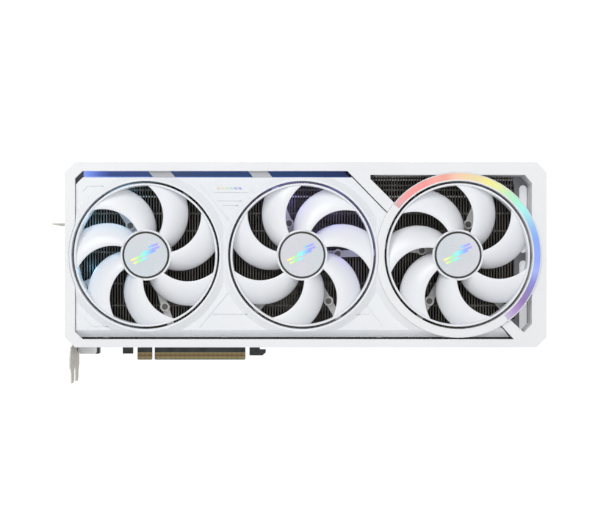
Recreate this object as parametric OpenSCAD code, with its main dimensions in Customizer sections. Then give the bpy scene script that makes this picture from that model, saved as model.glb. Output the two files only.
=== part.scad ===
// Graphics card with three fans on its face and a fourth in its back.
// +X runs from the bracket to the far end, +Z runs up from the edge contacts, and the face looks along -Y.
// The origin is the middle of the key notch, at the tips of the contacts and halfway through the board.

/* [Frame] */
// Left face of the outer frame
frame_left = -59; // [-60:0.5:-58.5]
// Length of the outer frame
frame_length = 357.8; // [356:0.2:360]
// Lower face of the outer frame, above the tips of the contacts
frame_bottom = 13.5; // [13:0.1:14]
// Height of the outer frame
frame_height = 137.5; // [137:0.1:139]
// Distance from mid-board to the face of the frame
frame_reach = 64; // [63:0.5:65]
// Wall of the outer frame
frame_wall = 2.4; // [2:0.1:2.6]

/* [Fans] */
// Distance between neighbouring fans
fan_pitch = 116.2; // [115.8:0.1:116.4]
// Axis of the left fan
fan_left_x = 1; // [0.8:0.1:1.4]
// Height of every fan axis
fan_z = 82.1; // [81.8:0.1:82.4]
// Outer radius of a rotor
rotor_r = 53.3; // [52.7:0.1:53.5]
// Radius of the opening that a rotor turns in
fan_opening_r = 55; // [54.8:0.1:55.1]
// Blades on a rotor
blade_count = 7; // [5:1:7]
// Size of the rear fan against a front fan
rear_fan_scale = 0.8; // [0.76:0.01:0.81]

/* [Cooler] */
// Distance between neighbouring fins
fin_pitch = 2.1; // [2:0.1:3]
// Thickness of a fin
fin_thick = 0.4; // [0.3:0.05:0.6]
// Number of heat pipes
pipe_count = 7; // [5:1:7]

/* [Board] */
// Thickness of the circuit board
board_thick = 1.6; // [1.5:0.1:1.7]
// Far end of the circuit board
board_right = 172; // [168:1:175]
// Upper edge of the circuit board
board_top = 138; // [137:0.5:139]
// Video sockets in the bracket
socket_count = 5; // [3:1:5]

/* [Hidden] */
$fn = 72;

// Frame
frame_right = frame_left + frame_length;
frame_top = frame_bottom + frame_height;
frame_y = -frame_reach;
frame_chamfer = 7.5;
rim_thick = 3;
rim_back = frame_y + rim_thick;
wall_left = frame_left + frame_wall;
wall_right = frame_right - frame_wall;
wall_bottom = frame_bottom + frame_wall;
wall_top = frame_top - frame_wall;
wall_back = 5;
skirt_back = -43;

// Shroud, behind the rim of the frame
shroud_y = frame_y + 2.5;
shroud_thick = 2.4;
shroud_wall_back = shroud_y + 9;
shroud_back = shroud_y + 12;
shroud_left = frame_left + 7.9;
shroud_bottom = 26.2;
shroud_top = 139.8;
slope_bottom = 20.6;
lip_y = frame_y - 1.6;
lip_r = 56.6;
lip_gap = 0.5;
bezel_r = 61.5;
ring_r = 61.4;
ring_gap = 0.1;
ring_bezel_r = 66.5;
ring_back = shroud_y + 5;
glow_inner_r = 56.2;
glow_outer_r = 60.6;
bar_y = -56.5;
bar_left = -46;
bar_bottom = shroud_top + 0.1;
glow_from = -53;
glow_to = 142;
glow_depth = 2.9;

// Grooves pressed into the face between the fans, each [from, to]
shroud_grooves = [
    [[41.5, 134.5], [62.6, 108.2]], [[62.6, 54], [41.5, 28.6]],
    [[54.5, 122.2], [73.2, 122.2]], [[58.4, 118.9], [70.8, 118.9]], [[50.4, 37.9], [78.5, 37.9]],
    [[165.4, 44.5], [177.6, 28.6]], [[156, 37.9], [168, 37.9]],
    [[-45.5, 129.8], [-42.6, 133.2]], [[-41.6, 133.2], [-29.9, 133.2]],
    [[-44.8, 35.2], [-38.8, 28.9]], [[-37.6, 28.9], [-25.4, 28.9]]
];

// Fans, measured back from the front plane of a rotor
fan_xs = [for (i = [0:2]) fan_left_x + i * fan_pitch];
right_fan_x = fan_xs[2];
fan_y = frame_y + 0.2;
rear_fan_y = 10;
// Turns of the rotors at rest
left_phase = 0;
right_phase = 3.5;
middle_phase = 24.3;
rotor_ring_r = 51.8;
rotor_depth = 12.3;
hub_r = 19;
hub_wall_r = 17.5;
hub_front = 1.6;
hub_floor = 3;
hub_back = 15;
cap_r = 16.1;
shaft_r = 1.5;
bearing_r = 3;
tube_r = 4.5;
base_front = 16.2;
arm_front = 17.5;
arm_back = 20.5;
duct_back = fan_y + arm_front;
arm_half = 2.6;
boss_r = 3.6;
left_arms = [[58, 40], [121, 26], [205, 40], [288, 41]];
middle_arms = [[2, 27], [112, 26], [230, 40], [300, 40]];
right_arms = [[68, 25], [172, 26], [240, 40], [312, 40]];

// Cooler
fin_front = -42;
plate_front = -6.7;
fin_left = -50;
fin_right = 279;
fin_bottom = 17.5;
fin_top = 147;
pipe_thick = 5.5;
pipe_width = 9;
fin_back = plate_front - pipe_thick;
pipe_left = -42;
pipe_right = 275;
pipe_pitch = 13;
pipe_zs = [for (i = [0:pipe_count - 1]) fan_z - 9.1 + (i - (pipe_count - 1) / 2) * pipe_pitch];

// Board and what is on it
board_front = -board_thick / 2;
board_back = board_thick / 2;
board_left = -56.4;
board_bottom = 10.2;
contact_top = 5.9;
contact_thick = 0.08;
gpu_x = 63;
gpu_z = 70;
gpu_size = 52;
die_size = 27;
die_front = -3.2;
plate_left = -12;
plate_right = 140;
plate_bottom = 22;
plate_top = 126;
memory_places = concat([for (x = [28.5, 97.5], z = [50, 70, 90]) [x, z]],
                       [for (x = [45, 63, 81], z = [33, 107]) [x, z]]);
memory_front = board_front - 1.2;
stage_front = board_front - 1;
coil_xs = [8, 118];
coil_size = 7.6;
stage_xs = [18.5, 107.5];
row_count = 10;
row_pitch = 9;
row_z0 = 33;
can_xs = [-22, 150];
socket_pitch = 17.4;
socket_z0 = 25;
socket_zs = [for (i = [0:socket_count - 1]) socket_z0 + i * socket_pitch];
socket_y = -3.8;
bracket_x = -60;
bracket_thick = 1;
bracket_front = -38.5;
bracket_back = 2.6;
bracket_top = 106.5;
bracket_tip = -16;
bracket_hem = -4.5;
slot_ys = [-6.5, -26.82];
notch_x = -67;
notch_r = 2.2;
flange_left = -73;
back_front = wall_back;
back_thick = 1.5;
back_rear = back_front + back_thick;
spring_posts = [for (sx = [-30, 30], sz = [-30, 30]) [gpu_x + sx, gpu_z + sz]];
post_places = [[-44, 122], [20, 131], [86, 131], [164, 122], [-10, 16], [52, 20], [100, 20], [164, 16]];
bracket_screw_zs = [24, 92];
socket16_x = 132.5;
switch_x = 100;

// Extrudes an outline drawn in X and Z from y0 back to y1
module slab(y0, y1) {
    translate([0, y1, 0]) rotate([90, 0, 0]) linear_extrude(height = y1 - y0) children();
}

// A box between two corners
module block(low, high) {
    translate(low) cube(high - low);
}

// A ring round the Y axis
module ring(r_out, r_in, y0, y1) {
    slab(y0, y1) difference() {
        circle(r = r_out);
        circle(r = r_in);
    }
}

// A round bar along Y
module rod_y(r, y0, y1) {
    slab(y0, y1) circle(r = r);
}

// A rectangle with its corners cut at 45 degrees
module cut_corner_rect(x0, x1, z0, z1, c) {
    polygon([[x0 + c, z0], [x1 - c, z0], [x1, z0 + c], [x1, z1 - c],
             [x1 - c, z1], [x0 + c, z1], [x0, z1 - c], [x0, z0 + c]]);
}

// A wedge from the fan axis that covers the lit part of the ring
module glow_wedge(from, to) {
    steps = 13;
    polygon(concat([[0, 0]], [for (i = [0:steps]) let (a = from + (to - from) * i / steps)
        80 * [cos(a), sin(a)]]));
}

module at_front_fan(i) {
    translate([fan_xs[i], fan_y, fan_z]) children();
}

module at_rear_fan() {
    translate([right_fan_x, rear_fan_y, fan_z]) rotate([0, 0, 180]) scale(rear_fan_scale) children();
}

// ---- Frame and shroud ----

// Opening of the frame over the shroud, moved inwards by e
module shroud_opening(e) {
    x0 = frame_left + 7.5 + e;
    z0 = frame_bottom + 6 + e;
    z1 = frame_top - 6.5 - e;
    c = 5.5 - 0.4 * e;
    polygon([[x0 + c, z0], [274.6 - 1.2 * e, z0], [266.3 - e, 28.6], [right_fan_x, fan_z],
             [180.6 - e, 114 - 0.4 * e], [151 - 0.4 * e, z1], [x0 + c, z1], [x0, z1 - c], [x0, z0 + c]]);
}

// Opening of the frame over the bare fins
module fin_opening() {
    polygon([[168, 141.6], [282.8, 141.6], [288, 135.5], [288, 30.8], [282, 24.5],
             [272, 33.8], [right_fan_x, fan_z], [185.8, 120.7], [168, 138.5]]);
}

module outer_frame() {
    color("white") difference() {
        union() {
            slab(frame_y, rim_back) difference() {
                cut_corner_rect(frame_left, frame_right, frame_bottom, frame_top, frame_chamfer);
                shroud_opening(0);
                fin_opening();
                translate([right_fan_x, fan_z]) circle(r = ring_r + ring_gap);
                translate([fan_left_x, fan_z]) circle(r = lip_r + lip_gap);
            }
            slab(rim_back, wall_back) difference() {
                cut_corner_rect(frame_left, frame_right, frame_bottom, frame_top, frame_chamfer);
                cut_corner_rect(wall_left, wall_right, wall_bottom, wall_top, frame_chamfer - 1);
            }
            slab(rim_back, skirt_back) frame_skirt();
        }
        // Room for the bracket and its sockets
        block([frame_left - 1, -40, frame_bottom - 1], [wall_left + 6, wall_back + 1, bracket_top + 2]);
        // Room for the board's lower edge
        block([frame_left - 1, -3, frame_bottom - 1], [board_right + 4, wall_back + 1, wall_bottom + 6]);
        // Windows over the power socket and the switch
        block([socket16_x - 16, -16, wall_top - 1], [socket16_x + 16, 3, frame_top + 1]);
        block([switch_x - 6, -7, wall_top - 1], [switch_x + 6, 1, frame_top + 1]);
    }
}

// Inner wall that lines the fin opening along its top and its far side
module frame_skirt() {
    difference() {
        polygon([[172, 141.6], [282.8, 141.6], [288, 135.5], [288, 30.8], [282, 24.5],
                 [283, 23.3], [289.6, 30.2], [289.6, 136.1], [283.5, 143.2], [172, 143.2]]);
        translate([right_fan_x, fan_z]) circle(r = ring_r + lip_gap);
    }
}

// Outline of the right fan's ring, moved outwards by e. It gives way to the middle fan's lip.
module right_ring_outline(e) {
    difference() {
        translate([right_fan_x, fan_z]) circle(r = ring_r + e);
        translate([fan_xs[1], fan_z]) circle(r = lip_r + ring_gap - 1.5 * e);
    }
}

// Holes in the shroud for the three fans
module shroud_holes() {
    for (i = [0:1]) translate([fan_xs[i], fan_z]) circle(r = fan_opening_r);
    right_ring_outline(ring_gap);
}

// Outline of the shroud's face, moved inwards by e
module shroud_outline(e) {
    x0 = shroud_left + e;
    z0 = shroud_bottom + e;
    z1 = shroud_top - e;
    c = 5 - 0.4 * e;
    difference() {
        polygon([[x0 + c, z0], [262, z0], [right_fan_x, fan_z], [179.8 - e, 113.8 - 0.4 * e],
                 [154.6 - 0.4 * e, z1], [x0 + c, z1], [x0, z1 - c], [x0, z0]]);
        shroud_holes();
    }
}

module groove(from, to) {
    run = to - from;
    width = 0.7;
    depth = 0.6;
    translate([from[0], 0, from[1]]) rotate([0, -atan2(run[1], run[0]), 0])
        block([0, shroud_y - 1, -width / 2], [norm(run), shroud_y + depth, width / 2]);
}

module plaque_outline() {
    polygon([[51.3, 128.7], [81.5, 128.7], [77.8, 134.5], [46.7, 134.5]]);
}

// Cone that falls from height top at radius r0 to the face at radius r1
module bezel(r0, top, r1) {
    rotate([90, 0, 0]) rotate_extrude()
        polygon([[r0 - 0.5, -shroud_y - 1], [r0 - 0.5, -top], [r0, -top],
                 [r1, -shroud_y], [r1, -shroud_y - 1]]);
}

// Slope along the lower edge, which ends beside the strut at the lower right
module shroud_slope() {
    intersection() {
        translate([shroud_left, 0, 0]) rotate([90, 0, 90]) linear_extrude(height = 330)
            polygon([[shroud_y, shroud_bottom], [shroud_wall_back, slope_bottom],
                     [shroud_back, slope_bottom], [shroud_back, shroud_bottom + 2],
                     [shroud_y, shroud_bottom + 2]]);
        slab(-80, 0)
            polygon([[shroud_left - 1, 19], [274.2, 19], [265.3, 28.6], [265.3, 40], [shroud_left - 1, 40]]);
    }
}

module front_shroud() {
    color("whitesmoke") difference() {
        union() {
            slab(shroud_y, shroud_y + shroud_thick) shroud_outline(0);
            // Wall round the edge of the face
            slab(shroud_y + shroud_thick, shroud_wall_back) difference() {
                shroud_outline(0);
                shroud_outline(2);
            }
            // Cones that rise from the face to the lips and to the right fan's ring
            intersection() {
                union() {
                    for (i = [0:1]) translate([fan_xs[i], 0, fan_z]) bezel(lip_r, lip_y + 0.4, bezel_r);
                    translate([right_fan_x, 0, fan_z]) bezel(ring_r, lip_y + 0.3, ring_bezel_r);
                }
                slab(lip_y, shroud_y + 1) shroud_outline(0.1);
            }
            difference() {
                shroud_slope();
                translate([right_fan_x, 0, fan_z]) rod_y(lip_r + 0.3, -80, 0);
                for (i = [0:1]) translate([fan_xs[i], 0, fan_z]) rod_y(lip_r - 0.5, -80, 0);
            }
            // Raised lips and ducts round the first two fans
            for (i = [0:1]) translate([fan_xs[i], 0, fan_z]) ring(lip_r, fan_opening_r, lip_y, duct_back);
            // Feet that stand on the frame's walls
            for (x = [-30, 59, 175, 225]) block([x - 2, shroud_wall_back + 0.5, wall_bottom],
                                                [x + 2, shroud_back - 0.5, slope_bottom + 1]);
            for (z = [64, 100.2]) block([wall_left, -55, z - 3], [-52.8, shroud_wall_back - 0.5, z + 3]);
        }
        for (g = shroud_grooves) groove(g[0], g[1]);
        // Seats of the plaque and of the right fan's ring
        slab(lip_y - 1, shroud_y) plaque_outline();
        slab(lip_y - 1, ring_back + ring_gap) right_ring_outline(ring_gap);
    }
}

module right_fan_ring() {
    color("white") {
        difference() {
            slab(lip_y, ring_back) right_ring_outline(0);
            translate([right_fan_x, 0, fan_z]) {
                rod_y(fan_opening_r, lip_y - 1, ring_back + 1);
                slab(lip_y - 1, lip_y + glow_depth + 0.3) intersection() {
                    difference() {
                        circle(r = glow_outer_r + 0.1);
                        circle(r = glow_inner_r - 0.1);
                    }
                    glow_wedge(glow_from, glow_to);
                }
            }
        }
        translate([right_fan_x, 0, fan_z]) ring(lip_r, fan_opening_r, ring_back, duct_back);
    }
}

// Translucent arc that glows in the right ring
module light_ring() {
    color("lightskyblue") translate([right_fan_x, 0, fan_z]) slab(lip_y + 0.3, lip_y + glow_depth + 0.3)
        intersection() {
            difference() {
                circle(r = glow_outer_r);
                circle(r = glow_inner_r);
            }
            glow_wedge(glow_from + 0.2, glow_to - 0.2);
        }
}

// Lit strip in the channel above the shroud
module light_bar() {
    color("royalblue") slab(bar_y, bar_y + 2.5)
        polygon([[bar_left, bar_bottom], [153, bar_bottom], [145, wall_top], [bar_left, wall_top]]);
}

// Slanted bridges over the lit strip, which tie the shroud to the rim, and the filler at its left end
module light_bar_ramps() {
    slant = 3.6;
    chamfer = frame_chamfer - 1;
    color("gainsboro") {
        for (r = [[2.8, 16.4], [77.2, 14.4]]) let (x = r[0], width = r[1]) slab(rim_back, bar_y)
            polygon([[x + slant, bar_bottom], [x + slant + width, bar_bottom], [x + width, 144.4],
                     [x + width - 3, 147], [x, 147], [x, 144.4]]);
        slab(bar_y - 2, bar_y + 2)
            polygon([[wall_left, 133], [shroud_left - 0.2, 133], [shroud_left - 0.2, 135],
                     [shroud_left + 4.8, bar_bottom], [bar_left - 0.1, bar_bottom],
                     [bar_left - 0.1, wall_top], [wall_left + chamfer, wall_top],
                     [wall_left, wall_top - chamfer]]);
    }
}

// Slanted plaque between the first two fans
module badge_plate() {
    color("white") slab(shroud_y - 0.8, shroud_y) plaque_outline();
}

// Upright at the far end, between the fins and the frame
module end_brace() {
    panel_x = 282;
    panel_width = 5.6;
    color("silver") difference() {
        union() {
            slab(skirt_back, -40.8)
                polygon([[278.2, 18], [291, 18], [294, 21], [294, 143.6], [291, 146.6], [278.2, 146.6]]);
            // Foot and lug that reach over the ends of the fins
            slab(skirt_back, fin_front) {
                polygon([[262, 20], [280, 20], [280, 33.5], [270, 33.5], [262, 25]]);
                polygon([[277.2, 136], [279, 134], [280, 134], [280, 146.6], [277.2, 146.6]]);
            }
        }
        // Two tall sunk panels with round ends
        for (z = [[25, 78], [84, 135]]) slab(skirt_back - 1, skirt_back + 1.2) {
            translate([panel_x, z[0] + panel_width / 2]) square([panel_width, z[1] - z[0] - panel_width]);
            for (end = [z[0] + panel_width / 2, z[1] - panel_width / 2])
                translate([panel_x + panel_width / 2, end]) circle(r = panel_width / 2);
        }
    }
}

// ---- Cooler ----

module fin_stack() {
    fin_count = floor((fin_right - fin_left - fin_thick) / fin_pitch);
    strip = 0.6;
    color("dimgray") difference() {
        slab(fin_front, fin_back) difference() {
            translate([fin_left, fin_bottom])
                square([fin_count * fin_pitch + fin_thick, fin_top - fin_bottom]);
            for (i = [0:fin_count - 1])
                translate([fin_left + i * fin_pitch + fin_thick, fin_bottom + strip])
                    square([fin_pitch - fin_thick, fin_top - fin_bottom - 2 * strip]);
        }
        // Room for the power socket and its plug
        block([socket16_x - 18, -18, 125], [socket16_x + 18, fin_back + 1, fin_top + 1]);
    }
}

module heat_pipes() {
    r = pipe_thick / 2;
    color("peru") for (z = pipe_zs) translate([pipe_left, plate_front - r, z]) rotate([90, 0, 90])
        linear_extrude(height = pipe_right - pipe_left) {
            square([pipe_thick, pipe_width - pipe_thick], center = true);
            for (s = [-1, 1]) translate([0, s * (pipe_width - pipe_thick) / 2]) circle(r = r);
        }
}

module cold_plate() {
    color("lightgray") slab(plate_front, die_front) difference() {
        translate([plate_left, plate_bottom]) square([plate_right - plate_left, plate_top - plate_bottom]);
        for (x = coil_xs) translate([x - 5, row_z0 - 6]) square([10, row_pitch * (row_count - 1) + 12]);
    }
}

module memory_pad_or_chip(y0, y1, shrink) {
    for (p = memory_places) block([p[0] - 6 + shrink, y0, p[1] - 7 + shrink],
                                  [p[0] + 6 - shrink, y1, p[1] + 7 - shrink]);
}

module stage_or_pad(y0, y1) {
    for (x = stage_xs, i = [0:row_count - 1])
        block([x - 3, y0, row_z0 + i * row_pitch - 2.5], [x + 3, y1, row_z0 + i * row_pitch + 2.5]);
}

// Soft pads between the chips and the cold plate
module thermal_pads() {
    color("lightsteelblue") {
        memory_pad_or_chip(die_front, memory_front, 1);
        stage_or_pad(die_front, stage_front);
    }
}

// ---- Board ----

module pcb() {
    color("darkslategray") slab(board_front, board_back) difference() {
        union() {
            polygon([[board_left, board_bottom], [-24.2, board_bottom], [-24.2, 4.7], [-16, 4.7],
                     [-16, board_bottom], [-12.6, board_bottom], [-12.6, 0.6], [-12, 0], [-1.5, 0],
                     [-0.95, 0.6], [-0.95, 9.9], [0.95, 9.9], [0.95, 0.6], [1.5, 0], [72, 0], [72.6, 0.6],
                     [72.6, board_bottom], [75.8, board_bottom], [75.8, 3.3], [86, 3.3], [88.7, 5.6],
                     [88.7, 8.2], [84, 8.2], [84, board_bottom], [board_right, board_bottom],
                     [board_right, board_top], [board_left, board_top]]);
        }
        for (p = concat(spring_posts, post_places)) translate(p) circle(r = 1.7);
        for (z = bracket_screw_zs) translate([-54, z]) circle(r = 1.7);
    }
}

// Gold fingers on both faces of the board
module edge_contacts() {
    finger = 0.7;
    color("goldenrod") for (y = [board_front - contact_thick, board_back], x = concat(
        [for (i = [0:10]) -12 + i * 1], [for (i = [0:70]) 1.65 + i * 1]))
        block([x, y, 0.7], [x + finger, y + contact_thick, contact_top]);
}

module gpu_chip() {
    color("gray") {
        block([gpu_x - gpu_size / 2, -2.4, gpu_z - gpu_size / 2],
              [gpu_x + gpu_size / 2, board_front, gpu_z + gpu_size / 2]);
        block([gpu_x - die_size / 2, die_front, gpu_z - die_size / 2],
              [gpu_x + die_size / 2, -2.4, gpu_z + die_size / 2]);
    }
}

module memory_chips() {
    color("black") memory_pad_or_chip(memory_front, board_front, 0);
}

module power_inductors() {
    h = coil_size / 2;
    color("dimgray") for (x = coil_xs, i = [0:row_count - 1])
        block([x - h, -6.3, row_z0 + i * row_pitch - h], [x + h, board_front, row_z0 + i * row_pitch + h]);
}

module power_stages() {
    color("black") stage_or_pad(stage_front, board_front);
}

module capacitors() {
    color("silver") for (x = can_xs, i = [0:row_count - 1])
        translate([x, 0, row_z0 + i * row_pitch]) rod_y(3.1, -6.2, board_front);
}

module control_chips() {
    color("black") for (p = [[-36, 60, 4], [-36, 84, 3.5], [-36, 108, 5], [162, 50, 4], [162, 76, 3]])
        block([p[0] - p[2], stage_front, p[1] - p[2]], [p[0] + p[2], board_front, p[1] + p[2]]);
}

// Twelve power cells in two rows, with a row of four small signal cells in front
module cell_places(z0) {
    for (i = [0:5], j = [0:1]) translate([socket16_x + (i - 2.5) * 3, -3.6 - j * 3, z0]) children();
}

module power_socket() {
    color("black") difference() {
        block([socket16_x - 10.3, -10.6, 127], [socket16_x + 10.3, board_front, 142]);
        cell_places(131) translate([-1.2, -1.2, 0]) cube([2.4, 2.4, 12]);
        for (i = [0:3]) translate([socket16_x + (i - 1.5) * 2 - 0.7, -10, 131]) cube([1.4, 1.4, 12]);
    }
}

module power_socket_pins() {
    color("goldenrod") cell_places(131) translate([-0.45, -0.45, 0]) cube([0.9, 0.9, 9]);
}

// ---- Bracket and sockets ----

module io_bracket() {
    x1 = bracket_x + bracket_thick;
    color("silver") difference() {
        union() {
            // Plate, waisted below the frame, with one tapered tongue for each slot
            translate([bracket_x, 0, 0]) rotate([90, 0, 90]) linear_extrude(height = bracket_thick)
                {
                    polygon([[bracket_front, bracket_hem], [bracket_back, bracket_hem],
                             [bracket_back, bracket_top], [bracket_front, bracket_top], [bracket_front, 23],
                             [bracket_front + 6.5, 15], [bracket_front, 4]]);
                    for (y = slot_ys)
                        polygon([[y - 8, bracket_hem + 1], [y - 5.1, bracket_hem - 3.5],
                                 [y - 5.1, bracket_tip], [y + 2, bracket_tip], [y + 5.1, bracket_tip + 2.5],
                                 [y + 5.1, bracket_hem - 3.5], [y + 8, bracket_hem + 1]]);
                }
            // Flange that the case screws hold
            block([flange_left, bracket_front, bracket_top - 1], [bracket_x, bracket_back, bracket_top]);
            // Ears behind the board
            for (z = bracket_screw_zs) block([x1, board_back, z - 4], [-49, board_back + 1, z + 4]);
        }
        for (y = slot_ys) {
            translate([notch_x, y, bracket_top - 2]) cylinder(r = notch_r, h = 4);
            block([flange_left - 1, y - notch_r, bracket_top - 2], [notch_x, y + notch_r, bracket_top + 2]);
        }
        for (z = socket_zs)
            block([bracket_x - 1, socket_y - 3.2, z - 8.5], [x1 + 1, socket_y + 3.2, z + 8.5]);
        for (z = bracket_screw_zs) translate([-54, 0, z]) rod_y(1.7, 0, 3);
        // Air slots in the second slot's width
        for (i = [0:6], y = [-24, -35])
            block([bracket_x - 1, y, 12 + i * 13], [x1 + 1, y + 8, 20 + i * 13]);
    }
}

module bracket_screws() {
    color("silver") for (z = bracket_screw_zs) translate([-54, 0, z]) difference() {
        union() {
            rod_y(2.8, 1.8, 3.4);
            rod_y(1.5, board_front, 1.8);
        }
        block([-1.8, 2.6, -0.3], [1.8, 4, 0.3]);
        block([-0.3, 2.6, -1.8], [0.3, 4, 1.8]);
    }
}

// Metal shells, with a mouth each, standing on the board
module video_socket_shells() {
    color("silver") for (z = socket_zs) difference() {
        block([bracket_x - 0.6, socket_y - 3, z - 8.3], [-43, board_front, z + 8.3]);
        block([bracket_x - 1, socket_y - 2.4, z - 7.7], [-44, socket_y + 2.4, z + 7.7]);
    }
}

module video_socket_tongues() {
    color("black") for (z = socket_zs) {
        block([-47, socket_y - 2.4, z - 7.7], [-44, socket_y + 2.4, z + 7.7]);
        block([bracket_x + 1.5, socket_y - 0.6, z - 6], [-47, socket_y + 0.6, z + 6]);
    }
}

// Shield under the sockets, whose outer lower corner is cut off
module io_cover() {
    bottom = 5.1;
    color("white") slab(-9, board_front)
        polygon([[-56.5, bottom], [-41.6, bottom], [-41.6, frame_bottom - 0.2], [-58, frame_bottom - 0.2],
                 [-58, bottom + 1.5]]);
}

// ---- Back ----

module backplate() {
    color("white") slab(back_front, back_rear) difference() {
        cut_corner_rect(frame_left + 0.2, frame_right - 0.2, frame_bottom + 0.5, frame_top - 0.2,
                        frame_chamfer);
        translate([right_fan_x, fan_z]) circle(r = 46.4);
        for (p = spring_posts) translate(p) circle(r = 4.4);
        for (p = post_places) translate(p) circle(r = 1.6);
        for (z = [25, 65, 105]) translate([283.2, z]) square([9.8, 34]);
        for (i = [0:7]) translate([-44 + i * 7, 60]) polygon([[0, 0], [3.4, 0], [17.4, 40], [14, 40]]);
    }
}

module backplate_screws() {
    color("silver") for (p = post_places) translate([p[0], 0, p[1]]) difference() {
        union() {
            rod_y(2.8, back_rear, back_rear + 1.4);
            rod_y(1.4, board_front, back_rear);
        }
        block([-1.8, back_rear + 0.7, -0.3], [1.8, back_rear + 2, 0.3]);
        block([-0.3, back_rear + 0.7, -1.8], [0.3, back_rear + 2, 1.8]);
    }
}

module standoffs() {
    color("goldenrod") for (p = post_places) translate([p[0], 0, p[1]])
        slab(board_back, back_front) difference() {
            circle(r = 2.8, $fn = 6);
            circle(r = 1.5);
        }
}

// Sprung cross behind the processor
module retention_plate() {
    reach = 30 * sqrt(2);
    color("gray") slab(board_back, board_back + 1.2) translate([gpu_x, gpu_z]) difference() {
        union() {
            for (a = [45, 135]) rotate(a) square([2 * reach, 8], center = true);
            for (p = spring_posts) translate(p - [gpu_x, gpu_z]) circle(r = 5.5);
        }
        for (p = spring_posts) translate(p - [gpu_x, gpu_z]) circle(r = 1.7);
    }
}

module retention_screws() {
    color("silver") for (p = spring_posts) translate([p[0], 0, p[1]]) difference() {
        union() {
            rod_y(1.5, die_front, 5.2);
            rod_y(3.2, 5.2, 6.8);
        }
        block([-2, 6, -0.3], [2, 8, 0.3]);
        block([-0.3, 6, -2], [0.3, 8, 2]);
    }
}

module retention_springs() {
    color("silver") for (p = spring_posts) translate([p[0], 0, p[1]]) ring(2.7, 1.9, board_back + 1.2, 5.2);
}

module switch_housing() {
    color("black") difference() {
        block([switch_x - 5, -5.4, 134], [switch_x + 5, board_front, 142.5]);
        block([switch_x - 1.9, -4.3, 140.3], [switch_x + 3.9, -1.9, 143]);
    }
}

module switch_slider() {
    color("white") block([switch_x - 1.6, -4.1, 140.6], [switch_x + 1.6, -2.1, 146]);
}

// ---- Fans, drawn from the front plane of the rotor back ----

// Angle of a blade's leading edge, which sweeps forward towards the tip
function lead_angle(r) = 7 + 0.47 * (r - 20) + 0.015 * pow(r - 20, 2);

// Angle of its trailing edge
function trail_angle(r) = -32.7 + 0.94 * (r - 20) + 0.0072 * pow(r - 20, 2);

// Blade seen from the front, between the hub's wall and the ring
module blade_outline() {
    steps = 8;
    r0 = 15;
    r1 = 55;
    radii = [for (i = [0:steps]) r0 + (r1 - r0) * i / steps];
    difference() {
        intersection() {
            polygon(concat([for (r = radii) r * [cos(lead_angle(r)), sin(lead_angle(r))]],
                           [for (i = [steps:-1:0]) let (r = radii[i])
                               r * [cos(trail_angle(r)), sin(trail_angle(r))]]));
            circle(r = (rotor_r + rotor_ring_r) / 2);
        }
        circle(r = (hub_r + hub_wall_r) / 2);
    }
}

// One cambered blade: the outline cut from a round shell whose axis follows the sweep
module blade() {
    sweep = 36;
    camber_r = 48;
    thick = 1.5;
    offset_s = 3;
    intersection() {
        slab(0.6, rotor_depth - 0.2) blade_outline();
        translate([-offset_s * sin(sweep), camber_r + 1.1, offset_s * cos(sweep)]) rotate([0, 90 - sweep, 0])
            difference() {
                cylinder(r = camber_r, h = 160, center = true);
                cylinder(r = camber_r - thick, h = 170, center = true);
            }
    }
}

// Blades joined by an outer ring and a hub cup
// A fan that pulls has its blades turned back to front.
module rotor(phase, pulls = false) {
    color("white") {
        ring(rotor_r, rotor_ring_r, 0, rotor_depth);
        ring(hub_r, hub_wall_r, hub_front, hub_back);
        ring(hub_r - 0.5, shaft_r, hub_floor, hub_floor + 1.4);
        ring(3.5, shaft_r, hub_floor, hub_floor + 4.4);
        for (i = [0:blade_count - 1]) rotate([0, -phase - i * 360 / blade_count, 0])
            if (pulls) translate([0, rotor_depth, 0]) mirror([0, 1, 0]) blade();
            else blade();
    }
}

module hub_cap() {
    color("lavender") rod_y(cap_r, hub_front - 0.3, hub_floor);
}

module magnet() {
    color("dimgray") ring(hub_wall_r, 15.6, 6, 14);
}

module shaft() {
    color("silver") rod_y(shaft_r, hub_floor, 19.6);
}

// Bearing tube, base and arms that carry a rotor. Each arm has an angle and a radius for its boss.
module fan_frame(arms) {
    color("gray") {
        ring(tube_r, bearing_r, 8.6, arm_back);
        ring(18.5, bearing_r, base_front, arm_back);
        ring(lip_r, fan_opening_r, arm_front, arm_back);
        for (arm = arms) rotate([0, -arm[0], 0]) {
            block([17.5, arm_front + 0.3, -arm_half], [fan_opening_r + 0.6, arm_back - 0.3, arm_half]);
            translate([arm[1], 0, 0]) rod_y(boss_r, arm_front - 1, arm_back - 0.1);
        }
    }
}

// Six wound poles on a core
module stator() {
    color("peru") {
        ring(7.5, tube_r, 8.8, 13.5);
        for (i = [0:5]) rotate([0, i * 60, 0]) {
            block([7, 9.2, -2.2], [12.6, 13.1, 2.2]);
            block([12.4, 9, -4.4], [14, 13.3, 4.4]);
        }
    }
}

module bearing() {
    ring(bearing_r, shaft_r + 0.05, 8.6, arm_back);
}

module fan_bearings() {
    color("goldenrod") {
        for (i = [0:2]) at_front_fan(i) bearing();
        at_rear_fan() bearing();
    }
}

// Rear fan's frame has its own lip and a flange that rests on the backplate
module fan_frame_rear() {
    flange_back = (rear_fan_y - back_rear) / rear_fan_scale;
    at_rear_fan() {
        fan_frame([[45, 40], [165, 40], [285, 40]]);
        color("white") {
            ring(57.2, fan_opening_r, -1, arm_front);
            ring(63.5, fan_opening_r, 0.5, flange_back);
        }
    }
}

module middle_rotor() {
    mirror([1, 0, 0]) rotor(180 - middle_phase);
}

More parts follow.
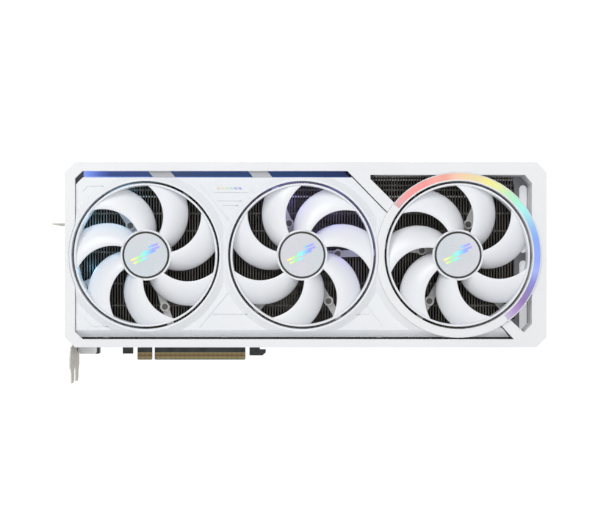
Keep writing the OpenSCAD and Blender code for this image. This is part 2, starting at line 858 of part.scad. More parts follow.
outer_frame();
front_shroud();
right_fan_ring();
light_ring();
light_bar();
light_bar_ramps();
badge_plate();
end_brace();
fin_stack();
heat_pipes();
cold_plate();
thermal_pads();
pcb();
edge_contacts();
gpu_chip();
memory_chips();
power_inductors();
power_stages();
capacitors();
control_chips();
power_socket();
power_socket_pins();
io_bracket();
bracket_screws();
video_socket_shells();
video_socket_tongues();
io_cover();
backplate();
backplate_screws();
standoffs();
retention_plate();
retention_screws();
retention_springs();
switch_housing();
switch_slider();
at_front_fan(0) fan_frame(left_arms);  // fan_frame_left
at_front_fan(1) fan_frame(middle_arms);  // fan_frame_middle
at_front_fan(2) fan_frame(right_arms);  // fan_frame_right
fan_frame_rear();
at_front_fan(0) stator();  // stator_left
at_front_fan(1) stator();  // stator_middle
at_front_fan(2) stator();  // stator_right
at_rear_fan() stator();  // stator_rear
fan_bearings();
at_front_fan(0) rotor(left_phase);  // rotor_left
at_front_fan(1) middle_rotor();  // rotor_middle
at_front_fan(2) rotor(right_phase);  // rotor_right
at_rear_fan() rotor(0, true);  // rotor_rear
at_front_fan(0) hub_cap();  // hub_cap_left
at_front_fan(1) hub_cap();  // hub_cap_middle
at_front_fan(2) hub_cap();  // hub_cap_right
at_rear_fan() hub_cap();  // hub_cap_rear
at_front_fan(0) magnet();  // magnet_left
at_front_fan(1) magnet();  // magnet_middle
at_front_fan(2) magnet();  // magnet_right
at_rear_fan() magnet();  // magnet_rear
at_front_fan(0) shaft();  // shaft_left
at_front_fan(1) shaft();  // shaft_middle
at_front_fan(2) shaft();  // shaft_right
at_rear_fan() shaft();  // shaft_rear
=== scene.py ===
"""Looks of the graphics card: finishes, fan blades, lit parts and studio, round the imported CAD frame."""
import math

import bmesh
import bpy
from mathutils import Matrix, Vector


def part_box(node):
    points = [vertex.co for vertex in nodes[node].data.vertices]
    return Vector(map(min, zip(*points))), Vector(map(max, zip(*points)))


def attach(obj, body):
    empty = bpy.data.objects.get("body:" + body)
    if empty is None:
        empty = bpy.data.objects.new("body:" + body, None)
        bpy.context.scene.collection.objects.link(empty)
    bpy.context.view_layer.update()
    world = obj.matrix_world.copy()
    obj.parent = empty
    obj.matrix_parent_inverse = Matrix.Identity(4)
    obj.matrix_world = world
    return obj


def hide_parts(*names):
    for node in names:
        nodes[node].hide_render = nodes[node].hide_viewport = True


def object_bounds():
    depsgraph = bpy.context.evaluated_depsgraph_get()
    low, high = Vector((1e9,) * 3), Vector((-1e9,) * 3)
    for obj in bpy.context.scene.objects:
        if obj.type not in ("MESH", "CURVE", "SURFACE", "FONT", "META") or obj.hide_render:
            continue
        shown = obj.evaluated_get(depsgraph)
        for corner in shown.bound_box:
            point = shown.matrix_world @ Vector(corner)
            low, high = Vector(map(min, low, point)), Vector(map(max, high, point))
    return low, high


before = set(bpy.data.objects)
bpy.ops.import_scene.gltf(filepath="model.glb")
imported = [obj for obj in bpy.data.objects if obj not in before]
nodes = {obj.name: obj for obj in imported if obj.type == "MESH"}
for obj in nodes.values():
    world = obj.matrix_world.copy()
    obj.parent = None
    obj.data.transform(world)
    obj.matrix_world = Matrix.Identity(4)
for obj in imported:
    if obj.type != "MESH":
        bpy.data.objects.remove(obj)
cad_low, cad_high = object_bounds()

MM = 0.001
TURN = 2 * math.pi

# Fan measures in millimetres, as the CAD rotors have them. Depths run back from a rotor's front plane.
RING_R = 53.3
RING_IN = 51.8
ROTOR_DEPTH = 12.3
HUB_R = 19.0
HUB_IN = 17.5
HUB_FRONT = 1.6
HUB_FLOOR = 3.0
HUB_BACK = 15.0
CAP_R = 16.1
CAP_FRONT = 1.3
BLADES = 7
REAR_SCALE = 0.8

# Inner radius of a turned disc, just off the axis so that its faces keep an area
AXIS_R = 0.01


# ---- Small tools ----

def rgb(code):
    """Linear colour from six hexadecimal digits."""
    values = [int(code[i:i + 2], 16) / 255 for i in (0, 2, 4)]
    return [v / 12.92 if v <= 0.04045 else ((v + 0.055) / 1.055) ** 2.4 for v in values] + [1.0]


def node(tree, kind, inputs=None, **settings):
    """Adds a shader node. A socket given as an input is linked, and any other value is set."""
    made = tree.nodes.new("ShaderNode" + kind)
    for key, value in settings.items():
        setattr(made, key, value)
    for key, value in (inputs or {}).items():
        if isinstance(value, bpy.types.NodeSocket):
            tree.links.new(value, made.inputs[key])
        else:
            made.inputs[key].default_value = value
    return made


def maths(tree, operation, *values):
    return node(tree, "Math", dict(enumerate(values)), operation=operation).outputs[0]


def ramp(tree, factor, stops):
    """Colour ramp with stops given as (position, colour code)."""
    made = node(tree, "ValToRGB", {"Fac": factor})
    band = made.color_ramp
    while len(band.elements) < len(stops):
        band.elements.new(1.0)
    for element, (position, code) in zip(band.elements, stops):
        element.position = position
        element.color = rgb(code)
    return made.outputs["Color"]


def mixed_colour(tree, share, first, second):
    return node(tree, "Mix", {0: share, 6: first, 7: second}, data_type="RGBA").outputs[2]


def between(tree, value, low, high):
    """One where the value lies between the limits, and zero elsewhere."""
    above = maths(tree, "GREATER_THAN", value, low)
    return maths(tree, "MULTIPLY", above, maths(tree, "LESS_THAN", value, high))


def new_material(name):
    material = bpy.data.materials.new(name)
    material.use_nodes = True
    tree = material.node_tree
    return material, tree, tree.nodes["Principled BSDF"], node(tree, "TexCoord").outputs["Object"]


def bump(tree, shader, height, strength, distance):
    made = node(tree, "Bump", {"Height": height, "Strength": strength, "Distance": distance})
    tree.links.new(made.outputs["Normal"], shader.inputs["Normal"])


def gloss(tree, shader, value, low, high):
    """Roughness that follows a value from low to high."""
    spread = node(tree, "MapRange", {"Value": value, "To Min": low, "To Max": high})
    tree.links.new(spread.outputs["Result"], shader.inputs["Roughness"])


def share_of(tree, value, start, end):
    """How far a value has come from start to end, as zero to one."""
    return node(tree, "MapRange", {"Value": value, "From Min": start, "From Max": end}).outputs["Result"]


def coordinate(tree, axis):
    """Object coordinate along one axis."""
    place = node(tree, "TexCoord").outputs["Object"]
    return node(tree, "SeparateXYZ", {"Vector": place}).outputs[axis]


def paint_over(tree, share, code):
    """Covers the base colour with another where the share is one."""
    base = tree.nodes["Principled BSDF"].inputs["Base Color"]
    tree.links.new(mixed_colour(tree, share, base.links[0].from_socket, rgb(code)), base)


# ---- Finishes ----

def plastic(name, light, dark, rough=0.36, grain=0.0008, depth=0.00002, coat=0.0):
    """Moulded plastic: slow drift between two tones, and a fine grain in the gloss and the surface."""
    material, tree, shader, place = new_material(name)
    drift = node(tree, "TexNoise", {"Vector": place, "Scale": 14.0, "Detail": 2.0})
    tones = ramp(tree, drift.outputs["Fac"], [(0.3, dark), (0.7, light)])
    tree.links.new(tones, shader.inputs["Base Color"])
    fine = node(tree, "TexNoise", {"Vector": place, "Scale": 1 / grain, "Detail": 3.0})
    gloss(tree, shader, fine.outputs["Fac"], rough - 0.05, rough + 0.05)
    bump(tree, shader, fine.outputs["Fac"], 0.25, depth)
    shader.inputs["Coat Weight"].default_value = coat
    return material


def metal(name, light, dark, rough=0.3, brushed=(1, 1, 1), scale=400.0, purity=1.0):
    """Metal with fine scratches, drawn out along the axes where brushed is small."""
    material, tree, shader, place = new_material(name)
    drawn = node(tree, "Mapping", {"Vector": place, "Scale": brushed}).outputs["Vector"]
    marks = node(tree, "TexNoise", {"Vector": drawn, "Scale": scale, "Detail": 4.0})
    tones = ramp(tree, marks.outputs["Fac"], [(0.3, dark), (0.7, light)])
    tree.links.new(tones, shader.inputs["Base Color"])
    gloss(tree, shader, marks.outputs["Fac"], rough - 0.08, rough + 0.1)
    bump(tree, shader, marks.outputs["Fac"], 0.2, 0.00002)
    shader.inputs["Metallic"].default_value = purity
    return material


def pearl(name):
    """Pearly disc: pale tints that drift into each other under a clear coat."""
    material, tree, shader, place = new_material(name)
    drift = node(tree, "TexNoise", {"Vector": place, "Scale": 32.0, "Detail": 1.0})
    tints = [(0.3, "D2DAE0"), (0.45, "D5DBDF"), (0.55, "D8DADF"), (0.7, "DDDAE3")]
    tree.links.new(ramp(tree, drift.outputs["Fac"], tints), shader.inputs["Base Color"])
    fine = node(tree, "TexNoise", {"Vector": place, "Scale": 1500.0, "Detail": 2.0})
    gloss(tree, shader, fine.outputs["Fac"], 0.22, 0.32)
    shader.inputs["Coat Weight"].default_value = 0.3
    return material


def rainbow(name, stops, start, reach):
    """Colours along X, from start over a stretch of reach, which also glow faintly."""
    material, tree, shader, place = new_material(name)
    along = node(tree, "SeparateXYZ", {"Vector": place}).outputs["X"]
    colour = ramp(tree, share_of(tree, along, start, start + reach), stops)
    tree.links.new(colour, shader.inputs["Base Color"])
    tree.links.new(colour, shader.inputs["Emission Color"])
    shader.inputs["Emission Strength"].default_value = 0.35
    shader.inputs["Roughness"].default_value = 0.3
    return material


def ring_glow(name, centre):
    """Lit arc whose colour follows the angle round the fan's axis."""
    first, last = -60, 150
    material, tree, shader, place = new_material(name)
    parts = node(tree, "SeparateXYZ", {"Vector": place})
    across = maths(tree, "SUBTRACT", parts.outputs["X"], centre.x)
    up = maths(tree, "SUBTRACT", parts.outputs["Z"], centre.z)
    angle = maths(tree, "ARCTAN2", up, across)
    hues = [(-54, "C9C0DC"), (-44, "B093CE"), (-36, "9478B4"), (-28, "8A7FBB"), (-20, "8C8ED8"),
            (-12, "A6B6F8"), (-4, "94AAF8"), (12, "8AAEF4"), (20, "96C0F4"), (28, "A4DFF0"),
            (36, "A8F7F2"), (44, "AEF5D2"), (52, "C6F1C0"), (60, "EEF3A8"), (68, "F8EF92"),
            (76, "F2DEAA"), (84, "F3D9AC"), (92, "FCCDB4"), (100, "F4AA98"), (108, "FBAEA4"),
            (116, "F89B98"), (132, "FCA3A2"), (140, "DDAFB0")]
    colour = ramp(tree, share_of(tree, angle, math.radians(first), math.radians(last)),
                  [((turn - first) / (last - first), code) for turn, code in hues])
    tree.links.new(colour, shader.inputs["Emission Color"])
    shader.inputs["Emission Strength"].default_value = 0.97
    shader.inputs["Base Color"].default_value = rgb("101012")
    shader.inputs["Roughness"].default_value = 0.35
    return material


def bar_glow(name, low, high):
    """Lit strip: dark blue core, a bright lower rim, and most light at its left end."""
    seen_height = 4.6 * MM
    material, tree, shader, place = new_material(name)
    parts = node(tree, "SeparateXYZ", {"Vector": place})
    along = share_of(tree, parts.outputs["X"], low.x, high.x)
    height = share_of(tree, parts.outputs["Z"], low.z, low.z + seen_height)
    core = ramp(tree, along, [
        (0.0, "8FA8F4"), (0.02, "7896F0"), (0.06, "5468BC"), (0.1, "344988"), (0.36, "34466E"),
        (0.51, "264071"), (0.81, "1A3868"), (1.0, "0E1F53")])
    rim = ramp(tree, along, [
        (0.0, "B4C4F8"), (0.1, "7A98F0"), (0.4, "5474C4"), (0.8, "3250A4"), (1.0, "28448E")])
    edge = ramp(tree, height, [
        (0.0, "FFFFFF"), (0.14, "D0D0D0"), (0.28, "000000"), (0.8, "000000"), (1.0, "606060")])
    tree.links.new(mixed_colour(tree, edge, core, rim), shader.inputs["Emission Color"])
    shader.inputs["Emission Strength"].default_value = 0.95
    shader.inputs["Base Color"].default_value = rgb("050608")
    shader.inputs["Roughness"].default_value = 0.25
    return material


def brace_finish_and_painted_glow(name, floor_y, left, right):
    """Grey upright whose sunk panels are white, with a painted glow that brightens them in their deep
    pocket.
    """
    material, tree, shader, place = new_material(name)
    parts = node(tree, "SeparateXYZ", {"Vector": place})
    inside = between(tree, parts.outputs["X"], left, right)
    sunk = maths(tree, "MULTIPLY", inside, maths(tree, "GREATER_THAN", parts.outputs["Y"], floor_y))
    drift = node(tree, "TexNoise", {"Vector": place, "Scale": 60.0, "Detail": 2.0})
    grey = ramp(tree, drift.outputs["Fac"], [(0.3, "8E9093"), (0.7, "9C9EA1")])
    tree.links.new(mixed_colour(tree, sunk, grey, rgb("F4F5F6")), shader.inputs["Base Color"])
    # Painted light: the sunk panels glow a little, though nothing inside them gives light.
    shader.inputs["Emission Color"].default_value = rgb("E6E8EC")
    tree.links.new(maths(tree, "MULTIPLY", sunk, 0.38), shader.inputs["Emission Strength"])
    shader.inputs["Roughness"].default_value = 0.45
    return material


def shroud_finish_and_painted_light(name, painted_shade_below, slope_top):
    """The shroud's white, with painted shade on the feet under the slope, and a painted glow on the slope
    in place of the light thrown up from under it.
    """
    strength = 0.15
    material = plastic(name, *SHROUD_TONES, rough=SHROUD_ROUGH)
    tree = material.node_tree
    shader = tree.nodes["Principled BSDF"]
    height = coordinate(tree, "Z")
    # Painted light: the slope glows a little in place of the light that the parts under it throw up.
    glow = maths(tree, "MULTIPLY", between(tree, height, painted_shade_below, slope_top), strength)
    shader.inputs["Emission Color"].default_value = (0.97, 0.985, 1, 1)
    tree.links.new(glow, shader.inputs["Emission Strength"])
    # Painted shade: everything below the slope is near black, for the dark gap where the feet stand.
    paint_over(tree, maths(tree, "LESS_THAN", height, painted_shade_below), "1C1D1F")
    return material


def ramp_finish_and_painted_shade(name, corner_x):
    """Grey, with painted shade that makes it much darker in the corner at the bar's near end."""
    material = plastic(name, "BDC0C2", "B2B5B8", rough=0.4)
    tree = material.node_tree
    # Painted shade: darker left of corner_x, in the corner at the bar's near end.
    paint_over(tree, maths(tree, "LESS_THAN", coordinate(tree, "X"), corner_x), "55585A")
    return material


def cover_finish(name, low, high):
    """Pale shield whose dark end slants at its foot."""
    dark_wide, slant_tall = 3.2 * MM, 1.4 * MM
    material, tree, shader, place = new_material(name)
    parts = node(tree, "SeparateXYZ", {"Vector": place})
    along = share_of(tree, parts.outputs["X"], low.x, high.x)
    pale = ramp(tree, along, [(0.0, "DCDDDF"), (0.7, "F0F1F3"), (0.8, "FFFFFF")])
    rise = maths(tree, "MINIMUM", maths(tree, "SUBTRACT", parts.outputs["Z"], low.z), slant_tall)
    slanted = maths(tree, "SUBTRACT", parts.outputs["X"], rise)
    dark = maths(tree, "GREATER_THAN", slanted, high.x - dark_wide)
    tree.links.new(mixed_colour(tree, dark, pale, rgb("2E2F31")), shader.inputs["Base Color"])
    fine = node(tree, "TexNoise", {"Vector": place, "Scale": 900.0, "Detail": 2.0})
    bump(tree, shader, fine.outputs["Fac"], 0.2, 0.00002)
    shader.inputs["Roughness"].default_value = 0.4
    return material


def contact_finish(name, low, high):
    """Gold fingers, darker in bands across their height."""
    material, tree, shader, place = new_material(name)
    parts = node(tree, "SeparateXYZ", {"Vector": place})
    tones = [(0.0, "C2B27C"), (0.3, "B8A872"), (0.42, "96754E"), (0.62, "A08058"), (0.8, "B4A26C"),
             (1.0, "A89868")]
    height = share_of(tree, parts.outputs["Z"], low.z, high.z)
    tree.links.new(ramp(tree, height, tones), shader.inputs["Base Color"])
    fine = node(tree, "TexNoise", {"Vector": place, "Scale": 700.0, "Detail": 3.0})
    gloss(tree, shader, fine.outputs["Fac"], 0.3, 0.5)
    shader.inputs["Metallic"].default_value = 0.35
    return material


def board_finish(name):
    """Black solder mask with faint tracks under it."""
    material, tree, shader, place = new_material(name)
    tracks = node(tree, "TexVoronoi", {"Vector": place, "Scale": 160.0}, distance="MANHATTAN")
    tones = [(0.0, "1D1E20"), (0.5, "2A2B2D"), (1.0, "36373A")]
    tree.links.new(ramp(tree, tracks.outputs["Distance"], tones), shader.inputs["Base Color"])
    fine = node(tree, "TexNoise", {"Vector": place, "Scale": 600.0, "Detail": 2.0})
    gloss(tree, shader, fine.outputs["Fac"], 0.3, 0.5)
    bump(tree, shader, tracks.outputs["Distance"], 0.2, 0.00003)
    return material


WHITE = plastic("white_plastic", "F0F1F2", "EBECEE")
SHROUD_TONES = ("EEF0F2", "E9ECEF")
SHROUD_ROUGH = 0.42
SHROUD_WHITE = plastic("shroud_plastic", *SHROUD_TONES, rough=SHROUD_ROUGH)
BLADE_WHITE = plastic("blade_plastic", "F0F2F4", "EBEDF1", rough=0.32, coat=0.1)
BACK_WHITE = plastic("backplate_paint", "ECEEF0", "E4E6E9", rough=0.45, grain=0.0005)
GREY = plastic("fan_frame_plastic", "D6D6D4", "C8C8C6", rough=0.45)
RAMP_GREY = ramp_finish_and_painted_shade("ramp_plastic_painted_shade", corner_x=-40 * MM)
DARK = plastic("dark_plastic", "26272A", "1C1D20", rough=0.5)
# Dark grey that paints the shade in each boss's recess
BOSS_SHADE = plastic("recess_painted_shade", "6E6C68", "5C5A57", rough=0.6)
# Near black that paints the shade in the groove round each hub disc
GROOVE_SHADE = plastic("groove_painted_shade", "4A4C46", "3C3E39", rough=0.5)
FIN = metal("fin_metal", "787269", "4C4842", rough=0.5, brushed=(1, 1, 0.05), scale=260.0, purity=0.3)
FIN_EDGE = metal("fin_edge_metal", "7A756D", "4C4843", rough=0.45, brushed=(1, 1, 0.04), scale=300.0,
                 purity=0.3)
# Two copies of the tab metal: a near white one that paints a glint on some rows, and a duller one for the
# rest.
GLINT_TAB = metal("tab_metal", "E4E2DE", "BDB9B2", rough=0.4, purity=0.2)
FAINT_TAB = metal("faint_tab_metal", "8A867F", "625E58", rough=0.4, purity=0.3)
NICKEL = metal("pipe_nickel", "8C8A88", "72706E", rough=0.32, brushed=(0.05, 1, 1))
PLATE = metal("plate_nickel", "9A9896", "83817F", rough=0.3, brushed=(0.1, 1, 1))
STEEL = metal("bracket_steel", "DCD8CE", "C6C2B8", rough=0.4, brushed=(1, 1, 0.08), purity=0.25)
SCREW = metal("screw_steel", "8E8D8B", "6E6D6B", rough=0.28)
GOLD = metal("contact_gold", "C9A650", "A8863C", rough=0.26, brushed=(1, 1, 0.2))
BRASS = metal("standoff_brass", "B89A58", "9A7E42", rough=0.3)
BRONZE = metal("bearing_bronze", "A98450", "8A6A3C", rough=0.34)
COPPER = metal("winding_copper", "C07A4A", "985A30", rough=0.35, brushed=(1, 0.2, 1), scale=1500.0)
ALUMINIUM = metal("can_aluminium", "C8C9CB", "B2B3B6", rough=0.3)
SILICON = metal("chip_silicon", "6E7278", "50545A", rough=0.2)
FERRITE = plastic("ferrite", "4A4B4E", "3A3B3D", rough=0.6, grain=0.0004, depth=0.00005)
PAD = plastic("pad_rubber", "9FA8B4", "8E97A4", rough=0.8, grain=0.0004, depth=0.00005)
BOARD = board_finish("board_mask")
PEARL = pearl("pearl_disc")


# ---- Mesh tools ----

def add_piece(name, mesh, material, slot, *replaced, body="card", smooth=True):
    """Links a finished mesh as a piece that rides on a body and stands for CAD nodes."""
    piece = bpy.data.objects.new(name, mesh)
    bpy.context.scene.collection.objects.link(piece)
    mesh.materials.append(material)
    mesh.polygons.foreach_set("use_smooth", [smooth] * len(mesh.polygons))
    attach(piece, body)
    if replaced:
        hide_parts(*replaced)


def mesh_from(name, verts, faces):
    mesh = bpy.data.meshes.new(name)
    mesh.from_pydata([tuple(v) for v in verts], [], faces)
    work = bmesh.new()
    work.from_mesh(mesh)
    bmesh.ops.recalc_face_normals(work, faces=work.faces)
    work.to_mesh(mesh)
    work.free()
    return mesh


def crease(piece, width):
    """Rounds a piece's sharp edges by a width in millimetres, and keeps its flat faces flat."""
    weld = piece.modifiers.new("weld", "WELD")
    weld.merge_threshold = 0.005 * MM
    bevel = piece.modifiers.new("bevel", "BEVEL")
    bevel.width = width * MM
    bevel.segments = 2
    bevel.limit_method = "ANGLE"
    bevel.angle_limit = math.radians(32)
    normals = piece.modifiers.new("normals", "WEIGHTED_NORMAL")
    normals.keep_sharp = True


def rounded(corners, fillet, steps=4):
    """Closed outline through corners, each rounded by up to fillet."""
    points = []
    count = len(corners)
    for i, corner in enumerate(corners):
        here = Vector(corner)
        before = Vector(corners[i - 1]) - here
        after = Vector(corners[(i + 1) % count]) - here
        cut = min(fillet, 0.45 * before.length, 0.45 * after.length)
        start = here + before.normalized() * cut
        end = here + after.normalized() * cut
        for step in range(steps + 1):
            t = step / steps
            points.append(start * (1 - t) ** 2 + here * 2 * t * (1 - t) + end * t ** 2)
    return points


def lathe(name, outline, centre, segments=144, facing=1, scale=1.0):
    """Solid turned round the Y axis through centre, from an outline of (radius, depth) in millimetres."""
    verts, faces, count = [], [], len(outline)
    for turn in range(segments):
        angle = TURN * turn / segments
        for radius, depth in outline:
            spot = Vector((radius * math.cos(angle), facing * depth, radius * math.sin(angle)))
            verts.append(centre + scale * MM * spot)
    for turn in range(segments):
        ahead = (turn + 1) % segments
        for k in range(count):
            nxt = (k + 1) % count
            faces.append((turn * count + k, turn * count + nxt, ahead * count + nxt, ahead * count + k))
    return mesh_from(name, verts, faces)


def joined(name, meshes):
    """One mesh from several, which it uses up."""
    work = bmesh.new()
    for mesh in meshes:
        work.from_mesh(mesh)
        bpy.data.meshes.remove(mesh)
    made = bpy.data.meshes.new(name)
    work.to_mesh(made)
    work.free()
    return made


def box_mesh(low, high):
    """Box between two corners."""
    verts = [(x, y, z) for x in (low[0], high[0]) for y in (low[1], high[1]) for z in (low[2], high[2])]
    faces = [(0, 1, 3, 2), (4, 6, 7, 5), (0, 4, 5, 1), (2, 3, 7, 6), (0, 2, 6, 4), (1, 5, 7, 3)]
    return mesh_from("box", verts, faces)


# ---- Fans ----

class Fan:
    """Where a fan sits and which way it faces and turns."""

    def __init__(self, side, sense, phase):
        self.side = side
        low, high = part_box("rotor_" + side)
        rear = side == "rear"
        self.facing = -1 if rear else 1
        self.scale = REAR_SCALE if rear else 1.0
        middle = (low + high) / 2
        cap_low, cap_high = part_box("hub_cap_" + side)
        plane = cap_high.y + CAP_FRONT * MM * self.scale if rear else cap_low.y - CAP_FRONT * MM
        self.centre = Vector((middle.x, plane, middle.z))
        self.sense = sense
        self.phase = phase

    def point(self, radius, angle, depth):
        """Point in metres from a radius and a depth in millimetres and an angle in degrees on the face."""
        turned = math.radians(self.phase + self.sense * angle)
        flat = self.scale * MM * radius
        back = self.scale * MM * depth
        return self.centre + Vector((self.facing * flat * math.cos(turned), self.facing * back,
                                     flat * math.sin(turned)))


def lead_angle(radius):
    """Angle in degrees of a blade's leading edge at a radius in millimetres."""
    return 7 + 0.47 * (radius - 20) + 0.015 * (radius - 20) ** 2


def trail_angle(radius):
    """Angle in degrees of a blade's trailing edge at a radius in millimetres."""
    return -32.7 + 0.94 * (radius - 20) + 0.0072 * (radius - 20) ** 2


def blade_mesh(fan, turn):
    """One blade: a sheet that lies flat at its leading edge and dips away towards its trailing edge."""
    stations, across = 24, 18
    half_thick, lead_depth, trail_depth, dip = 0.8, 1.3, 11.2, 1.9
    root, tip = 18.0, 52.3
    verts, faces = [], []

    def middle(radius, share):
        angle = lead_angle(radius) + (trail_angle(radius) - lead_angle(radius)) * share
        depth = lead_depth + (trail_depth - lead_depth) * share ** dip
        if fan.side == "rear":
            depth = ROTOR_DEPTH - depth
        return fan.point(radius, angle + turn, depth)

    for i in range(stations + 1):
        radius = root + (tip - root) * i / stations
        shares = [0.5 - 0.5 * math.cos(math.pi * k / across) for k in range(across + 1)]
        loop = [(s, 1) for s in shares] + [(s, -1) for s in reversed(shares[1:-1])]
        for share, side in loop:
            here = middle(radius, share)
            along = middle(radius + 0.2, share) - middle(radius - 0.2, share)
            sideways = middle(radius, min(share + 0.01, 1)) - middle(radius, max(share - 0.01, 0))
            normal = along.cross(sideways).normalized()
            half = half_thick * fan.scale * MM * max(0.0, 1 - abs(2 * share - 1) ** 6) ** 0.5
            verts.append(here + normal * half * side)
    count = 2 * across
    for i in range(stations):
        for k in range(count):
            nxt = (k + 1) % count
            faces.append((i * count + k, i * count + nxt, (i + 1) * count + nxt, (i + 1) * count + k))
    faces.append(tuple(range(count)))
    faces.append(tuple(stations * count + k for k in range(count)))
    return mesh_from("blade", verts, faces)


def make_rotor(fan):
    """Outer ring, hub and blades in one piece, as they are moulded."""
    ring = rounded([(RING_IN, 0), (RING_R, 0), (RING_R, ROTOR_DEPTH), (RING_IN, ROTOR_DEPTH)], 0.55)
    hub = rounded([(HUB_IN, HUB_FRONT), (HUB_R, HUB_FRONT), (HUB_R, HUB_BACK), (HUB_IN, HUB_BACK)], 0.8)
    floor = [(1.5, HUB_FLOOR), (18.2, HUB_FLOOR), (18.2, HUB_FLOOR + 1.4), (3.5, HUB_FLOOR + 1.4),
             (3.5, HUB_FLOOR + 4.4), (1.5, HUB_FLOOR + 4.4)]
    shells = [lathe("part", outline, fan.centre, facing=fan.facing, scale=fan.scale)
              for outline in (ring, hub, floor)]
    blades = [blade_mesh(fan, i * 360 / BLADES) for i in range(BLADES)]
    mesh = joined("rotor_" + fan.side, shells + blades)
    add_piece(f"fan_blades_{fan.side}", mesh, BLADE_WHITE, "rotor_white", "rotor_" + fan.side,
              body="fan_" + fan.side)


MARK_HUES = [(0.0, "F7B48C"), (0.16, "F2E58A"), (0.32, "93EE9E"), (0.5, "86DDF0"), (0.68, "86A2F6"),
             (0.86, "A78DF2"), (1.0, "C98AEE")]


def capsule(fan, middle, length, width, slant, front, back):
    """Slanted bar with round ends on a hub, in millimetres."""
    steps = 8
    tilt = math.radians(slant)
    radius = width / 2
    outline = []
    for end in (1, -1):
        for step in range(steps + 1):
            bend = math.pi * (step / steps - 0.5) + (0 if end > 0 else math.pi)
            outline.append((end * (length / 2 - radius) + radius * math.cos(bend), radius * math.sin(bend)))
    count = len(outline)
    verts = []
    for depth in (front, back):
        for x, z in outline:
            u = middle[0] + x * math.cos(tilt) - z * math.sin(tilt)
            v = middle[1] + x * math.sin(tilt) + z * math.cos(tilt)
            verts.append(fan.centre + fan.scale * MM * Vector((fan.facing * u, fan.facing * depth, v)))
    faces = [tuple(range(count)), tuple(range(2 * count - 1, count - 1, -1))]
    faces += [(k, (k + 1) % count, count + (k + 1) % count, count + k) for k in range(count)]
    return mesh_from("capsule", verts, faces)


def make_hub(fan):
    """Pearly disc with a mark of motion lines, and a dark ring of painted shade in the groove round it."""
    body = "fan_" + fan.side
    disc = rounded([(AXIS_R, CAP_FRONT), (CAP_R, CAP_FRONT), (CAP_R, 2.9), (AXIS_R, 2.9)], 0.45)
    mesh = lathe("disc", disc, fan.centre, facing=fan.facing, scale=fan.scale)
    add_piece(f"hub_disc_{fan.side}", mesh, PEARL, "hub_disc", "hub_cap_" + fan.side, body=body)
    # Painted shade: a dark ring in the groove between the disc and the hub, where only shade falls.
    groove_shade = [(CAP_R + 0.1, 2.3), (HUB_IN - 0.02, 2.3), (HUB_IN - 0.02, 2.95), (CAP_R + 0.1, 2.95)]
    mesh = lathe("groove_shade", groove_shade, fan.centre, facing=fan.facing, scale=fan.scale)
    add_piece(f"hub_groove_shade_{fan.side}", mesh, GROOVE_SHADE, "chip_black", body=body)
    # Middle, length and width of each line
    lines = [((-4.0, -4.2), 11, 1.4), ((-2.0, -0.4), 20, 1.4), ((3.2, 3.4), 15, 1.4), ((5.2, 6.9), 8, 1.3)]
    slant, front, back = 22, 1.12, 1.35
    mark = joined("mark", [capsule(fan, *line, slant, front, back) for line in lines])
    reach = 27 * MM * fan.scale
    hues = rainbow("mark_" + fan.side, MARK_HUES, fan.centre.x - fan.facing * reach / 2, fan.facing * reach)
    add_piece(f"hub_mark_{fan.side}", mark, hues, "hub_disc", body=body, smooth=False)


# Sense in which each fan's blades sweep, and how far its rotor is turned at rest, in degrees
FANS = {side: Fan(side, sense, phase) for side, sense, phase in
        (("left", 1, 0), ("middle", -1, 24.3), ("right", 1, 3.5), ("rear", 1, 0))}
for each in FANS.values():
    make_rotor(each)
    make_hub(each)


# ---- Fins ----

def make_fin_fronts():
    """Folded front edge of every fin, and rows of tabs that space the fins."""
    low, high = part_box("fin_stack")
    pitch, fold_left, fold_right, proud, margin = (v * MM for v in (2.1, 0.3, 0.5, 0.12, 0.4))
    tab_wide, tab_tall, tab_shift, tab_back, tab_proud = (v * MM for v in (0.9, 1.1, 0.1, 0.2, 0.4))
    count = int((high.x - low.x) / pitch)
    edges = [box_mesh((low.x + i * pitch - fold_left, low.y - proud, low.z + margin),
                      (low.x + i * pitch + fold_right, low.y + proud, high.z - margin))
             for i in range(1, count)]
    add_piece("fin_edges", joined("fin_edges", edges), FIN_EDGE, "fin_metal", smooth=False)
    # The first rows of tabs carry a painted glint; the faint rows are the same tabs without it.
    for name, rows, finish in (("fin_tabs", (126, 138.6, 141), GLINT_TAB),
                               ("faint_fin_tabs", (43.4, 60, 83.8, 100, 113.2, 131, 134.5), FAINT_TAB)):
        tabs = []
        for row in rows:
            for i in range(count):
                x = low.x + (i + 0.5) * pitch - tab_shift
                tabs.append(box_mesh((x - tab_wide / 2, low.y - tab_back, row * MM),
                                     (x + tab_wide / 2, low.y + tab_proud, row * MM + tab_tall)))
        add_piece(name, joined(name, tabs), finish, "fin_metal", smooth=False)


make_fin_fronts()


# ---- Plaque ----

